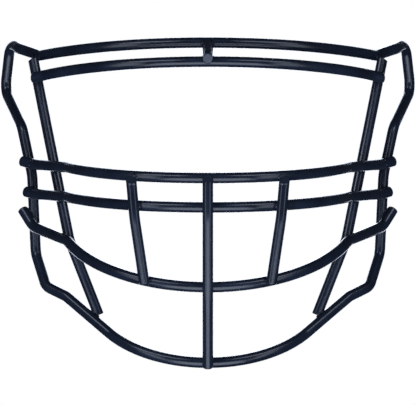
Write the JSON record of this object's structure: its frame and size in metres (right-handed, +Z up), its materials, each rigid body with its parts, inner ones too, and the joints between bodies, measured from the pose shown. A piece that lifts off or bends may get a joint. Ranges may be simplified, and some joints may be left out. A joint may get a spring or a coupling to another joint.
{
  "type": "football helmet face guard",
  "caption": "Coated steel wire face guard of an American football helmet, open at the eyes, with a bridge pair, jaw bar and chin bar",
  "frame": {"origin": "centre of the guard's bounding box", "axes": "+Z up, -Y out of the front of the guard, +Y towards the helmet shell, +X towards the wearer's left"},
  "size_m": [0.2418, 0.149, 0.1922],
  "materials": {
    "coated_wire": "dark navy nylon powder coat, satin to gloss, on hard-drawn steel wire",
    "coated_weld": "the same coat over cross-wire resistance welds"
  },
  "bodies": {
    "root": {"brow_bar": "coated_wire", "brow_strut": "coated_wire", "centre_wire": "coated_wire", "eye_bar": "coated_wire", "frame": "coated_wire", "jaw_bar": "coated_wire", "nose_bar": "coated_wire", "short_upright_left": "coated_wire", "short_upright_right": "coated_wire", "side_bar_left": "coated_wire", "side_bar_right": "coated_wire", "weld_centre_eye": "coated_weld", "weld_centre_frame": "coated_weld", "weld_centre_jaw": "coated_weld", "weld_centre_nose": "coated_weld", "weld_frame_eye_left": "coated_weld", "weld_frame_eye_right": "coated_weld", "weld_frame_jaw_left": "coated_weld", "weld_frame_jaw_right": "coated_weld", "weld_frame_nose_left": "coated_weld", "weld_frame_nose_right": "coated_weld", "weld_short_eye_left": "coated_weld", "weld_short_eye_right": "coated_weld", "weld_short_jaw_left": "coated_weld", "weld_short_jaw_right": "coated_weld", "weld_short_nose_left": "coated_weld", "weld_short_nose_right": "coated_weld", "weld_side_brow_left": "coated_weld", "weld_side_brow_right": "coated_weld", "weld_side_eye_left": "coated_weld", "weld_side_eye_right": "coated_weld", "weld_side_frame_foot_left": "coated_weld", "weld_side_frame_foot_right": "coated_weld", "weld_side_frame_top_left": "coated_weld", "weld_side_frame_top_right": "coated_weld", "weld_side_jaw_left": "coated_weld", "weld_side_jaw_right": "coated_weld", "weld_side_nose_left": "coated_weld", "weld_side_nose_right": "coated_weld", "weld_strut_brow": "coated_weld", "weld_strut_frame": "coated_weld"}
  },
  "joints": []
}
